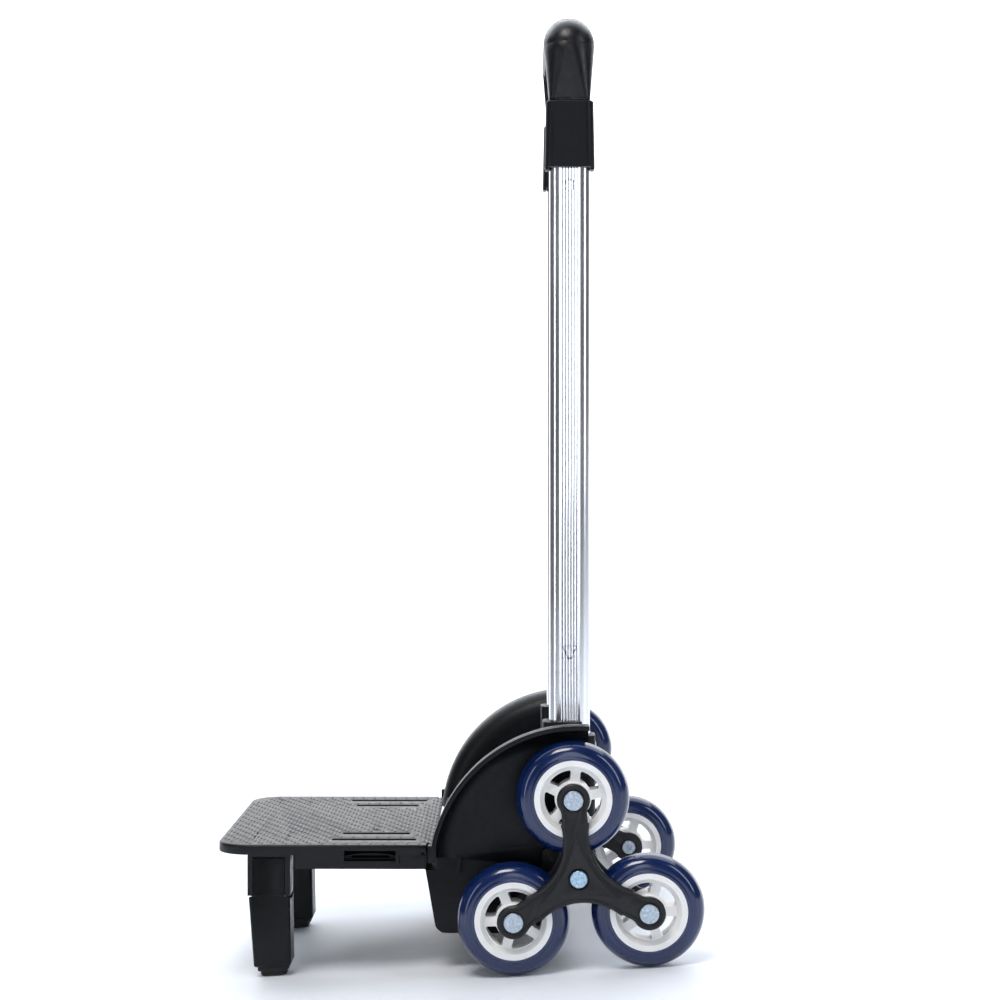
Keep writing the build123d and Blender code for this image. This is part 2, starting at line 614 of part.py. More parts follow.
# ---------------------------------------------------------------- handle
INNER_LOW, INNER_TOP = 158.5, 592.0
PIN_REST = MAST_X - INNER_WIDTH / 2             # pin tip flush with the inner tube
PIN_LENGTH = 7.4
for side_name, sign in SIDES:
    with BuildPart() as inner_tube:
        with BuildSketch(level(INNER_LOW)):
            with Locations((sign * MAST_X, MAST_Y)):
                tube_outline(INNER_DEPTH, INNER_WIDTH)
                SlotOverall(INNER_DEPTH - 2 * INNER_WALL, INNER_WIDTH - 2 * INNER_WALL, rotation=90,
                            mode=Mode.SUBTRACT)
        extrude(amount=INNER_TOP - INNER_LOW)
        with BuildSketch(side(sign * (MAST_X - INNER_WIDTH))):
            with Locations((MAST_Y, LOCK_LOW)):
                Circle(LOCK_PIN_R + RUN)
        extrude(amount=sign * INNER_WIDTH, mode=Mode.SUBTRACT)
    save(inner_tube, f"inner_tube_{side_name}")

    with BuildPart() as plug:
        with BuildSketch(level(INNER_LOW + 0.1)):
            with Locations((sign * MAST_X, MAST_Y)):
                tube_outline(INNER_DEPTH - 2 * INNER_WALL, INNER_WIDTH - 2 * INNER_WALL, -0.1)
        extrude(amount=22.0)
        with BuildSketch(side(sign * (MAST_X - INNER_WIDTH))):
            with Locations((MAST_Y, LOCK_LOW)):
                Circle(LOCK_PIN_R + RUN)
        extrude(amount=sign * (INNER_WIDTH + 2.4), mode=Mode.SUBTRACT)
    save(plug, f"lock_housing_{side_name}")

    with BuildPart() as pin:
        with BuildSketch(side(sign * PIN_REST)):
            with Locations((MAST_Y, LOCK_LOW)):
                Circle(LOCK_PIN_R)
        extrude(amount=sign * PIN_LENGTH)
        fillet(pin.edges().sort_by_distance(Vector(0, AXLE_Y, AXLE_Z))[:1], 0.8)
    save(pin, f"lock_pin_{side_name}")

GRIP_HALF = 61.0
FINGER_HALF, FINGER_TOP = 40.0, 600.0
GRIP_DEPTH_LOW, GRIP_DEPTH = 15.2, 18.8         # half depth at the bottom and at the bulge
ARCH_R = 104.0                                  # centre line of the arched bar
STEP = 0.06                                     # the shoulders stand this much inside the bar
SHOULDER_X = GRIP_HALF - GRIP_DEPTH
ARCH_Z = CROWN - GRIP_DEPTH - ARCH_R
ARCH_TURN = degrees(asin(SHOULDER_X / ARCH_R))
SHOULDER_Z = ARCH_Z + ARCH_R * cos(radians(ARCH_TURN))
UNDER_INSET = 1.6                               # the flat underside is a little narrower
# height, half depth and outer edge radius at the two ends of an arm
ARM_ENDS = ((GRIP_LOW, GRIP_DEPTH_LOW, 4.0), (SHOULDER_Z, GRIP_DEPTH, 18.6))
CAVITY_FLOOR, CAVITY_TOP = 602.0, 615.0         # room for the release yoke
YOKE_LOW, YOKE_TOP = 610.0, 614.5
BUTTON_TRAVEL = 4.0
BUTTON_TOP = CROWN + 0.2
with BuildPart() as grip:
    # arched bar of round section that ends in two round shoulders
    shoulder_left = BODY.from_local_coords((-SHOULDER_X, MAST_Y, SHOULDER_Z))
    along = Vector(cos(radians(ARCH_TURN)), 0, 0) + BODY.z_dir * sin(radians(ARCH_TURN))
    with BuildSketch(Plane(origin=shoulder_left, x_dir=BODY.y_dir, z_dir=along)):
        Circle(GRIP_DEPTH)
    pivot = BODY.from_local_coords((0, MAST_Y, ARCH_Z))
    revolve(axis=Axis(pivot, BODY.y_dir), revolution_arc=2 * ARCH_TURN)
    shoulders = [BODY.from_local_coords((x, MAST_Y, SHOULDER_Z)) for x in (-SHOULDER_X, SHOULDER_X)]
    with Locations(*shoulders):
        Sphere(GRIP_DEPTH - STEP)
    # arms: flat outer faces at the bottom that turn into the round shoulders
    for sign in (1, -1):
        for height, depth, edge in ARM_ENDS:
            with BuildSketch(level(height)) as outline:
                with Locations((sign * (GRIP_HALF + FINGER_HALF) / 2, MAST_Y)):
                    Rectangle(GRIP_HALF - FINGER_HALF, 2 * depth)
                corners = outline.vertices().group_by(Axis.X)
                fillet(corners[-1 if sign > 0 else 0], edge)
        loft()
    # flat underside of the bar
    with BuildSketch(facing(MAST_Y + GRIP_DEPTH - UNDER_INSET)):
        with Locations((0, (FINGER_TOP + SHOULDER_Z) / 2 - 3)):
            Rectangle(2 * SHOULDER_X, SHOULDER_Z - FINGER_TOP + 6)
    extrude(amount=2 * (GRIP_DEPTH - UNDER_INSET))
    with BuildSketch(facing(MAST_Y + 30)):
        with BuildLine():
            Polyline((-FINGER_HALF, GRIP_LOW - 5), (FINGER_HALF, GRIP_LOW - 5),
                     (FINGER_HALF, FINGER_TOP - 12))
            ThreePointArc((FINGER_HALF, FINGER_TOP - 12), (FINGER_HALF - 3.5, FINGER_TOP - 3.5),
                          (FINGER_HALF - 12, FINGER_TOP))
            Line((FINGER_HALF - 12, FINGER_TOP), (-FINGER_HALF + 12, FINGER_TOP))
            ThreePointArc((-FINGER_HALF + 12, FINGER_TOP), (-FINGER_HALF + 3.5, FINGER_TOP - 3.5),
                          (-FINGER_HALF, FINGER_TOP - 12))
            Line((-FINGER_HALF, FINGER_TOP - 12), (-FINGER_HALF, GRIP_LOW - 5))
        make_face()
    extrude(amount=60, mode=Mode.SUBTRACT)
    # sockets of the inner tubes, room for the yoke and the well of the button
    with BuildSketch(level(GRIP_LOW)):
        with Locations((-MAST_X, MAST_Y), (MAST_X, MAST_Y)):
            tube_outline(INNER_DEPTH, INNER_WIDTH, FIT)
    extrude(amount=INNER_TOP - GRIP_LOW, mode=Mode.SUBTRACT)
    with BuildSketch(level(INNER_TOP - 1)):
        with Locations((-MAST_X, MAST_Y), (MAST_X, MAST_Y)):
            Rectangle(6.8, 10.0)
    extrude(amount=CAVITY_TOP - INNER_TOP + 1, mode=Mode.SUBTRACT)
    with BuildSketch(level(CAVITY_FLOOR)):
        with Locations((0, MAST_Y)):
            Rectangle(2 * MAST_X + 6.8, 10.0)
    extrude(amount=CAVITY_TOP - CAVITY_FLOOR, mode=Mode.SUBTRACT)
    with BuildSketch(level(CAVITY_FLOOR)):
        with Locations((0, MAST_Y)):
            RectangleRounded(28.8, 13.6, 5.4)
    extrude(amount=40, mode=Mode.SUBTRACT)
save(grip, "handle_grip")

with BuildPart() as button:
    with BuildSketch(level(YOKE_TOP)):
        with Locations((0, MAST_Y)):
            RectangleRounded(28.0, 12.8, 5.0)
    extrude(amount=BUTTON_TOP - YOKE_TOP)
    fillet(button.faces().sort_by(UP)[-1].edges(), 1.2)
save(button, "release_button")

with BuildPart() as yoke:
    with BuildSketch(level(YOKE_LOW)):
        with Locations((0, MAST_Y)):
            Rectangle(2 * MAST_X + 6, 7.0)
    extrude(amount=YOKE_TOP - YOKE_LOW)
    with BuildSketch(level(LOCK_LOW + 16)):
        with Locations((-MAST_X, MAST_Y), (MAST_X, MAST_Y)):
            Circle(2.0)
    extrude(amount=YOKE_LOW - LOCK_LOW - 16)
save(yoke, "release_yoke")

SPRING_R, SPRING_WIRE_R, SPRING_TURNS = 3.4, 0.4, 5
SPRING_HEIGHT = YOKE_LOW - CAVITY_FLOOR - 2 * SPRING_WIRE_R
spring_base = Plane(origin=level(CAVITY_FLOOR + SPRING_WIRE_R).from_local_coords((0, MAST_Y, 0)),
                    x_dir=(1, 0, 0), z_dir=BODY.z_dir)
with BuildPart() as spring:
    with BuildLine(spring_base) as coil:
        Helix(pitch=SPRING_HEIGHT / SPRING_TURNS, height=SPRING_HEIGHT, radius=SPRING_R)
    with BuildSketch(Plane(origin=coil.line @ 0, z_dir=coil.line % 0)):
        Circle(SPRING_WIRE_R)
    sweep(path=coil.line, is_frenet=True)
save(spring, "button_spring")

# ---------------------------------------------------------------- platform
PLATE_LOW = TOP - PLATE
PLATFORM_REAR = -108.2          # rear end of the rim
PLATE_REAR = -103.5             # rear edge of the plate, over the hinge
PLATE_HALF = 104.5
CHEEK = 3.8                     # thickness of a fork cheek
FORK_X = (LEG_X - LEG_PIVOT_R + LEG_OUTER) / 2
FORK_WIDTH = LEG_OUTER - LEG_X + LEG_PIVOT_R
NOTCH_FRONT = HINGE_Y - HINGE_R - 0.6           # front of the room for the chassis knuckles
SKIRT_FRONT, SKIRT_REAR = -203.0, NOTCH_FRONT
STRAP_SLOTS = [(90.0, 61.6), (64.5, 50.0)]      # X place and length of the strap slots
SLOT_WIDTH, SLOT_Y = 7.0, -147.0
RIBS_X = (-78.0, -40.0, 0.0, 40.0, 78.0)
RIB, RIB_Y = 2.0, -182.0
SCREEN_X = 97.2                 # short wall behind each strap window
WINDOW_FRONT, WINDOW_REAR = -169.6, -127.4      # framed strap window in each skirt side
WINDOW_LOW, WINDOW_HIGH = 3.1, PLATE_LOW
OPENING_LOW, OPENING_HIGH = 6.0, 13.5
FRAME_SIDE = 2.7
FRAME_OUTER = 112.6             # the frame stands out level with the rim
with BuildPart() as platform:
    with BuildSketch(level(LIP_BOTTOM)) as outline:
        with Locations((0, (PLATFORM_FRONT + PLATFORM_REAR) / 2)):
            Rectangle(2 * PLATFORM_HALF, PLATFORM_REAR - PLATFORM_FRONT)
        fillet(outline.vertices().group_by(Axis.Y)[0], CORNER_R)
    extrude(amount=TOP - LIP_BOTTOM)
    with BuildSketch(level(LIP_BOTTOM)) as hollow:
        with Locations((0, (PLATFORM_FRONT + PLATFORM_REAR) / 2)):
            Rectangle(2 * (PLATFORM_HALF - WALL), PLATFORM_REAR - PLATFORM_FRONT - 2 * WALL)
        fillet(hollow.vertices().group_by(Axis.Y)[0], CORNER_R - WALL)
    extrude(amount=PLATE_LOW - LIP_BOTTOM, mode=Mode.SUBTRACT)
    fillet(platform.faces().sort_by(UP)[-1].edges().sort_by(BACK)[:-1], 1.8)
    with BuildSketch(level(PLATE_LOW)):
        with Locations((0, (PLATFORM_REAR + PLATE_REAR) / 2)):
            Rectangle(2 * PLATE_HALF, PLATE_REAR - PLATFORM_REAR)
    extrude(amount=PLATE)
    # skirt: a box under the plate, open below, with crossed ribs
    with BuildSketch(level(SKIRT_BOTTOM)):
        with Locations((0, (SKIRT_FRONT + SKIRT_REAR) / 2)):
            Rectangle(2 * SKIRT_HALF, SKIRT_REAR - SKIRT_FRONT)
            Rectangle(2 * (SKIRT_HALF - WALL), SKIRT_REAR - SKIRT_FRONT - 2 * WALL, mode=Mode.SUBTRACT)
        for sign in (1, -1):
            with Locations((sign * (SKIRT_HALF - WALL / 2), (SKIRT_REAR + PLATFORM_REAR) / 2 - 0.5)):
                Rectangle(WALL, PLATFORM_REAR - SKIRT_REAR)
    extrude(amount=PLATE_LOW - SKIRT_BOTTOM)
    with BuildSketch(level(SKIRT_BOTTOM + 1.5)):
        with Locations(*[(x, (SKIRT_FRONT + SKIRT_REAR) / 2) for x in RIBS_X]):
            Rectangle(RIB, SKIRT_REAR - SKIRT_FRONT)
        with Locations((0, RIB_Y)):
            Rectangle(2 * SKIRT_HALF - WALL, RIB)
        with Locations(*[(x, (WINDOW_FRONT + WINDOW_REAR) / 2) for x in (-SCREEN_X, SCREEN_X)]):
            Rectangle(1.5, WINDOW_REAR - WINDOW_FRONT + 4)
    extrude(amount=PLATE_LOW - SKIRT_BOTTOM - 1.5)
    # hinge knuckles of the platform
    for sign in (1, -1):
        for start, end in PLATFORM_KNUCKLES:
            with BuildSketch(side(sign * start)):
                with Locations((HINGE_Y, HINGE_Z)):
                    Circle(HINGE_R)
                with Locations(((HINGE_Y + SKIRT_REAR) / 2 - 0.5, HINGE_Z)):
                    Rectangle(HINGE_Y - SKIRT_REAR + 1, 2 * HINGE_R)
            extrude(amount=sign * (end - start))
        # room for the chassis knuckle under the plate
        with BuildSketch(level(SKIRT_BOTTOM)):
            with Locations((sign * sum(KNUCKLES) / 2, NOTCH_FRONT + 10)):
                Rectangle(KNUCKLES[1] - KNUCKLES[0] + 1, 20)
        extrude(amount=PLATE_LOW - SKIRT_BOTTOM, mode=Mode.SUBTRACT)
        # leg fork: a block under the plate with a cheek in front of and behind the leg
        with BuildSketch(level(LEG_Z + LEG_PIVOT_R + 0.5)):
            with Locations((sign * FORK_X, (LEG_FRONT + LEG_REAR) / 2)):
                Rectangle(FORK_WIDTH, LEG_REAR - LEG_FRONT)
        extrude(amount=PLATE_LOW - LEG_Z - LEG_PIVOT_R - 0.5)
        for rear_face in (LEG_FRONT + CHEEK, LEG_REAR):
            with BuildSketch(facing(rear_face)):
                with Locations((sign * LEG_X, LEG_Z)):
                    Circle(CHEEK_R)
                with Locations((sign * FORK_X, LEG_Z)):
                    Rectangle(FORK_WIDTH, 2 * (PLATE_LOW - LEG_Z), mode=Mode.INTERSECT)
                with Locations((sign * FORK_X, LEG_Z - CHEEK_R / 2)):
                    Rectangle(FORK_WIDTH, 0.7 * CHEEK_R)
                with Locations((sign * FORK_X, (LEG_Z + PLATE_LOW) / 2)):
                    Rectangle(FORK_WIDTH, PLATE_LOW - LEG_Z)
            extrude(amount=CHEEK)
        with BuildSketch(facing(LEG_REAR + 1)):
            with Locations((sign * LEG_X, LEG_Z)):
                Circle(LEG_PIN_R)
        extrude(amount=LEG_REAR - LEG_FRONT + 2, mode=Mode.SUBTRACT)
        # strap slots, snap lines over the leg and a small tool mark
        with BuildSketch(level(LIP_BOTTOM)):
            for x, length in STRAP_SLOTS:
                with Locations((sign * x, SLOT_Y)):
                    RectangleRounded(SLOT_WIDTH, length, 1.5)
        extrude(amount=10, mode=Mode.SUBTRACT)
        with BuildSketch(level(TOP - 1.0)):
            with Locations((sign * 78.0, -235.0), (sign * 78.0, -210.5)):
                Rectangle(28.0, 1.1)
            with Locations((sign * 50.0, -149.0)):
                RectangleRounded(3.4, 7.5, 1.2)
        extrude(amount=2, mode=Mode.SUBTRACT)
        # window: raised frame, opening and the bar that the strap passes round
        with BuildSketch(side(sign * (SKIRT_HALF - 0.5))):
            with Locations(((WINDOW_FRONT + WINDOW_REAR) / 2, (WINDOW_LOW + WINDOW_HIGH) / 2)):
                Rectangle(WINDOW_REAR - WINDOW_FRONT, WINDOW_HIGH - WINDOW_LOW)
        extrude(amount=sign * (FRAME_OUTER - SKIRT_HALF + 0.5))
        with BuildSketch(side(sign * (SKIRT_HALF - WALL - 1))):
            with Locations(((WINDOW_FRONT + WINDOW_REAR) / 2, (OPENING_LOW + OPENING_HIGH) / 2)):
                Rectangle(WINDOW_REAR - WINDOW_FRONT - 2 * FRAME_SIDE, OPENING_HIGH - OPENING_LOW)
        extrude(amount=sign * 14, mode=Mode.SUBTRACT)
    with BuildSketch(side(-PLATFORM_HALF)):
        with Locations((HINGE_Y, HINGE_Z)):
            Circle(HINGE_PIN_R + RUN)
    extrude(amount=2 * PLATFORM_HALF, mode=Mode.SUBTRACT)
save(platform, "platform")

BAR_END, BAR_CREST, BAR_SLOT_Z = 8.7, 10.3, 8.1  # arched top of the bar and the slot in it
with BuildPart() as strap_bars:
    bar_front, bar_rear = WINDOW_FRONT + FRAME_SIDE, WINDOW_REAR - FRAME_SIDE
    bar_middle = (bar_front + bar_rear) / 2
    for sign in (1, -1):
        with BuildSketch(side(sign * (SKIRT_HALF - 2.4))):
            with BuildLine():
                ThreePointArc((bar_front, BAR_END), (bar_middle, BAR_CREST), (bar_rear, BAR_END))
                Polyline((bar_rear, BAR_END), (bar_rear, OPENING_LOW), (bar_front, OPENING_LOW),
                         (bar_front, BAR_END))
            make_face()
            with Locations((bar_middle, BAR_SLOT_Z)):
                SlotOverall(28.0, 1.6, mode=Mode.SUBTRACT)
        extrude(amount=sign * 2.2)
save(strap_bars, "strap_bars")

with BuildPart() as hinge_pin:
    with BuildSketch(side(-PLATFORM_KNUCKLES[1][1])):
        with Locations((HINGE_Y, HINGE_Z)):
            Circle(HINGE_PIN_R)
    extrude(amount=2 * PLATFORM_KNUCKLES[1][1])
    chamfer(hinge_pin.edges(), 0.3)
save(hinge_pin, "platform_hinge_pin")

# ---------------------------------------------------------------- legs
SHOULDER = LEG_Z - CHEEK_R + 4.5                # top of the leg's full-width body
TONGUE_FRONT, TONGUE_REAR = LEG_FRONT + 4.2, LEG_REAR - 4.2
TONGUE_R = LEG_PIVOT_R - 0.4
with BuildPart() as leg_pins:
    for sign in (1, -1):
        with BuildSketch(facing(LEG_REAR - 0.5)):
            with Locations((sign * LEG_X, LEG_Z)):
                Circle(LEG_PIN_R)
        extrude(amount=LEG_REAR - LEG_FRONT - 1)
save(leg_pins, "leg_pins")

LEG_LOW_FRONT, LEG_LOW_REAR = -234.6, -207.4
FOOT_Y = AXLE_Y + (LEG_LOW_FRONT + LEG_LOW_REAR) / 2 * cos(LEAN) + body_height(-220, 4) * sin(LEAN)
for side_name, sign in SIDES:
    with BuildPart() as leg:
        with BuildSketch(side(sign * LEG_INNER)):
            with BuildLine():
                Polyline(
                    (LEG_FRONT + 0.4, SHOULDER), (LEG_REAR - 0.2, SHOULDER),
                    (LEG_LOW_REAR, body_height(LEG_LOW_REAR, FOOT_HEIGHT)),
                    (LEG_LOW_FRONT, body_height(LEG_LOW_FRONT, FOOT_HEIGHT)), close=True,
                )
            make_face()
        extrude(amount=sign * (LEG_OUTER - LEG_INNER))
        uprights = [e for e in leg.edges() if e.length > 40]
        fillet(uprights, 2.5)
        fillet(leg.faces().sort_by(UP)[0].edges(), 1.5)
        for face in (LEG_REAR + 1, TONGUE_FRONT):
            with BuildSketch(facing(face)):
                with Locations((sign * LEG_X, LEG_Z)):
                    Circle(CHEEK_R + 0.5)
            extrude(amount=LEG_REAR + 1 - TONGUE_REAR, mode=Mode.SUBTRACT)
        with BuildSketch(facing(TONGUE_REAR)):
            with Locations((sign * LEG_X, LEG_Z)):
                Circle(TONGUE_R)
            with Locations((sign * (LEG_X + LEG_OUTER - TONGUE_R - 0.4) / 2, (SHOULDER + LEG_Z) / 2)):
                Rectangle(LEG_OUTER - 0.4 - LEG_X + TONGUE_R, LEG_Z - SHOULDER)
            with Locations((sign * (LEG_X + LEG_OUTER - 0.4) / 2, LEG_Z + TONGUE_R / 2)):
                Rectangle(LEG_OUTER - 0.4 - LEG_X, TONGUE_R)
        extrude(amount=TONGUE_REAR - TONGUE_FRONT)
        with BuildSketch(facing(LEG_REAR)):
            with Locations((sign * LEG_X, LEG_Z)):
                Circle(LEG_PIN_R + RUN)
        extrude(amount=LEG_REAR - LEG_FRONT, mode=Mode.SUBTRACT)
    save(leg, f"leg_{side_name}")

    with BuildPart() as foot:
        foot_x = sign * (LEG_INNER + LEG_OUTER) / 2
        with BuildSketch(Plane.XY):
            with Locations((foot_x, FOOT_Y)):
                RectangleRounded(16.0, 19.0, 5.0)
        extrude(amount=FOOT_HEIGHT / 2)
        with BuildSketch(Plane.XY.offset(FOOT_HEIGHT / 2)):
            with Locations((foot_x, FOOT_Y)):
                RectangleRounded(20.0, 23.0, 5.0)
        extrude(amount=FOOT_HEIGHT / 2)
        fillet(foot.faces().sort_by(Axis.Z)[0].edges(), 1.2)
    save(foot, f"foot_{side_name}")

print(f"axle at Y {AXLE_Y:.3f}, Z {AXLE_Z:.3f}; handle stroke {LOCK_HIGH - LOCK_LOW:.1f}")
print(f"platform hinge at {BODY.from_local_coords((0, HINGE_Y, HINGE_Z))}")
print(f"leg pivot at {BODY.from_local_coords((LEG_X, (LEG_FRONT + LEG_REAR) / 2, LEG_Z))}")
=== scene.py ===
"""Looks of the stair-climbing shopping trolley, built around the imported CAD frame. Metres."""

import json
from math import cos, pi, radians, sin, tau

import bmesh
import bpy
from mathutils import Matrix, Vector

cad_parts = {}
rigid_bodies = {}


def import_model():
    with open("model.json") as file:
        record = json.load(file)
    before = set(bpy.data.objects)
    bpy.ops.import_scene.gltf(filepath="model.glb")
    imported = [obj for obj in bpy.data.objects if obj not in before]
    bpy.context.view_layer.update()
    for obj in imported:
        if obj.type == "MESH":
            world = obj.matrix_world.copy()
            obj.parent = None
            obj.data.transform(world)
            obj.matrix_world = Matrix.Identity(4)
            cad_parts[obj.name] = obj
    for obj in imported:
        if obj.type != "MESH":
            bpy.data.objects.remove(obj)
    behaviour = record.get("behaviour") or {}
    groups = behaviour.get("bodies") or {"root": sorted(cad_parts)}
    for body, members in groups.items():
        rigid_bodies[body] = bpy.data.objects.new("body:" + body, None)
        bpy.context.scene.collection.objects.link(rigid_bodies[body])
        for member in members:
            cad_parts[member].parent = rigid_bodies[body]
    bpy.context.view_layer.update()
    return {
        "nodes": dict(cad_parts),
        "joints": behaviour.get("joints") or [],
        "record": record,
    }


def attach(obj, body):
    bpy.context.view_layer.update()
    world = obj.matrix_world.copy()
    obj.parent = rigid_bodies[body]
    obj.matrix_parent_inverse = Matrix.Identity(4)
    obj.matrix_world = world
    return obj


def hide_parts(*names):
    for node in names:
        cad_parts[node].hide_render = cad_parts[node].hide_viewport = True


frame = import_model()
nodes = frame["nodes"]
scene = bpy.context.scene
MM = 0.001

# ---------------------------------------------------------------- places, from the frame
joints = {joint["name"]: joint for joint in frame["joints"]}
SIDES = {"left": 1, "right": -1}
PLACES = ("top", "front", "rear")
ACROSS = Vector((1, 0, 0))
UP = Vector(joints["handle_slide"]["axis"]).normalized()       # up the leaning mast
BACK = Vector((0, UP.z, -UP.y))
HUB = Vector(joints["cluster_left_spin"]["pos_m"])
AXLE = Vector((0, HUB.y, HUB.z))


def at(x, back, up):
    """Place in the scene, given in millimetres from the axle in the leaning body frame."""
    return AXLE + ACROSS * x * MM + BACK * back * MM + UP * up * MM


# ---------------------------------------------------------------- camera
def aim(thing, eye, target, up):
    """Stand a camera or lamp at eye, looking at target."""
    ahead = (target - eye).normalized()
    right = ahead.cross(up).normalized()
    turn = Matrix((right, right.cross(ahead), -ahead)).transposed()
    thing.matrix_world = Matrix.Translation(eye) @ turn.to_4x4()


def add_camera():
    """Camera far out on the left side, turned so that the leaning mast is upright in the picture."""
    data = bpy.data.cameras.new("camera")
    data.lens = 72
    data.sensor_width = 36
    camera = bpy.data.objects.new("camera", data)
    scene.collection.objects.link(camera)
    distance, back, up = 1542, -44.4, 274.6
    drift_back, drift_down = 0.0076, 0.0069             # slopes of the view, per unit of distance
    eye = at(distance, back, up)
    aim(camera, eye, eye - ACROSS - BACK * drift_back - UP * drift_down, UP)
    scene.camera = camera


# ---------------------------------------------------------------- studio
def add_lamp(name, eye, target, width, height, power, colour):
    data = bpy.data.lights.new(name, "AREA")
    data.shape = "RECTANGLE"
    data.size = width
    data.size_y = height
    data.energy = power
    data.color = colour
    lamp = bpy.data.objects.new(name, data)
    scene.collection.objects.link(lamp)
    aim(lamp, Vector(eye), Vector(target), Vector((0.01, 0, 1)))


def add_studio():
    """Dim room with a wide ceiling light, three tall strips and a small lamp high in front."""
    world = bpy.data.worlds.new("studio")
    world.use_nodes = True
    world.node_tree.nodes["Background"].inputs["Color"].default_value = (0.9, 0.93, 1, 1)
    world.node_tree.nodes["Background"].inputs["Strength"].default_value = 0.12
    scene.world = world
    cool = (0.88, 0.93, 1)
    add_lamp("ceiling", (-2.3, 0, 2.6), (-2.3, 0, 0), 5.0, 4.4, 135, cool)
    add_lamp("front_strip", (2.3, 0.12, 0.8), (0, 0.05, 0.5), 0.45, 1.4, 4.6, cool)
    add_lamp("left_strip", (1.3, -1.5, 0.7), (0, -0.1, 0.2), 0.3, 1.3, 5.0, cool)
    add_lamp("right_strip", (0.9, 1.5, 0.9), (0, 0.1, 0.3), 0.3, 1.4, 7.0, cool)
    add_lamp("high_front", (1.1, -0.3, 2.3), (0, 0, 0.1), 0.9, 0.9, 32, (1, 0.97, 0.95))


# ---------------------------------------------------------------- shader helpers
NOISE_ROUGHNESS = 0.55


def new_material(name, colour, roughness, **sockets):
    """Principled material with uniform values set on the shader's own sockets."""
    material = bpy.data.materials.new(name)
    material.use_nodes = True
    shader = material.node_tree.nodes["Principled BSDF"]
    shader.inputs["Base Color"].default_value = (*colour, 1)
    shader.inputs["Roughness"].default_value = roughness
    for label, value in sockets.items():
        shader.inputs[label.replace("_", " ")].default_value = value
    return material


def add_noise(material, scale, detail, stretch=(1, 1, 1)):
    """Noise in object space; scale is in features per metre, stretch scales each axis."""
    tree = material.node_tree
    coords = tree.nodes.new("ShaderNodeTexCoord")
    mapping = tree.nodes.new("ShaderNodeMapping")
    mapping.inputs["Scale"].default_value = stretch
    noise = tree.nodes.new("ShaderNodeTexNoise")
    noise.inputs["Scale"].default_value = scale
    noise.inputs["Detail"].default_value = detail
    noise.inputs["Roughness"].default_value = NOISE_ROUGHNESS
    tree.links.new(coords.outputs["Object"], mapping.inputs["Vector"])
    tree.links.new(mapping.outputs["Vector"], noise.inputs["Vector"])
    return noise.outputs["Fac"]


def spread(material, source, low, high, start=0.3, end=0.7):
    """Map the range start..end of a texture or value onto low..high."""
    tree = material.node_tree
    node = tree.nodes.new("ShaderNodeMapRange")
    node.inputs["From Min"].default_value = start
    node.inputs["From Max"].default_value = end
    node.inputs["To Min"].default_value = low
    node.inputs["To Max"].default_value = high
    tree.links.new(source, node.inputs["Value"])
    return node.outputs["Result"]


def vary_colour(material, source, dark, light, start=0.3, end=0.7):
    tree = material.node_tree
    ramp = tree.nodes.new("ShaderNodeValToRGB")
    ramp.color_ramp.elements[0].position = start
    ramp.color_ramp.elements[0].color = (*dark, 1)
    ramp.color_ramp.elements[1].position = end
    ramp.color_ramp.elements[1].color = (*light, 1)
    tree.links.new(source, ramp.inputs["Fac"])
    tree.links.new(ramp.outputs["Color"], tree.nodes["Principled BSDF"].inputs["Base Color"])


def vary_roughness(material, source, low, high):
    shader = material.node_tree.nodes["Principled BSDF"]
    material.node_tree.links.new(spread(material, source, low, high), shader.inputs["Roughness"])


def add_relief(material, *layers):
    """Stack bump layers, each (texture, depth in metres)."""
    tree = material.node_tree
    normal = None
    for source, depth in layers:
        bump = tree.nodes.new("ShaderNodeBump")
        bump.inputs["Strength"].default_value = 1.0
        bump.inputs["Distance"].default_value = depth
        tree.links.new(source, bump.inputs["Height"])
        if normal:
            tree.links.new(normal, bump.inputs["Normal"])
        normal = bump.outputs["Normal"]
    tree.links.new(normal, tree.nodes["Principled BSDF"].inputs["Normal"])


def scaled(colour, factor):
    return tuple(channel * factor for channel in colour)


# ---------------------------------------------------------------- materials
def moulded(name, colour, roughness, grain=1400, depth=0.03 * MM, **sockets):
    """Moulded plastic: spark-eroded grain, slow flow variation in colour and gloss."""
    material = new_material(name, colour, roughness, **sockets)
    flow = add_noise(material, 22, 4)
    texture = add_noise(material, grain, 2)
    coarse = add_noise(material, grain / 5, 2)
    vary_colour(material, flow, scaled(colour, 0.8), scaled(colour, 1.25))
    vary_roughness(material, coarse, roughness - 0.06, roughness + 0.08)
    add_relief(material, (texture, depth), (coarse, depth * 0.7))
    return material


def tyre_material():
    material = new_material("tyre_blue", (0.003, 0.014, 0.075), 0.16, Coat_Weight=0.4,
                            Coat_Roughness=0.06)
    swirl = add_noise(material, 60, 3)
    ripple = add_noise(material, 160, 2)
    vary_colour(material, swirl, (0.0024, 0.0115, 0.062), (0.0036, 0.0165, 0.088))
    vary_roughness(material, swirl, 0.12, 0.22)
    add_relief(material, (ripple, 0.02 * MM))
    return material


def hub_material():
    material = new_material("hub_white", (0.88, 0.865, 0.85), 0.34, Subsurface_Weight=0.05,
                            Coat_Weight=0.1)
    flow = add_noise(material, 70, 3)
    pores = add_noise(material, 1500, 2)
    vary_colour(material, flow, (0.84, 0.82, 0.8), (0.9, 0.885, 0.87))
    vary_roughness(material, flow, 0.28, 0.42)
    add_relief(material, (pores, 0.012 * MM))
    return material


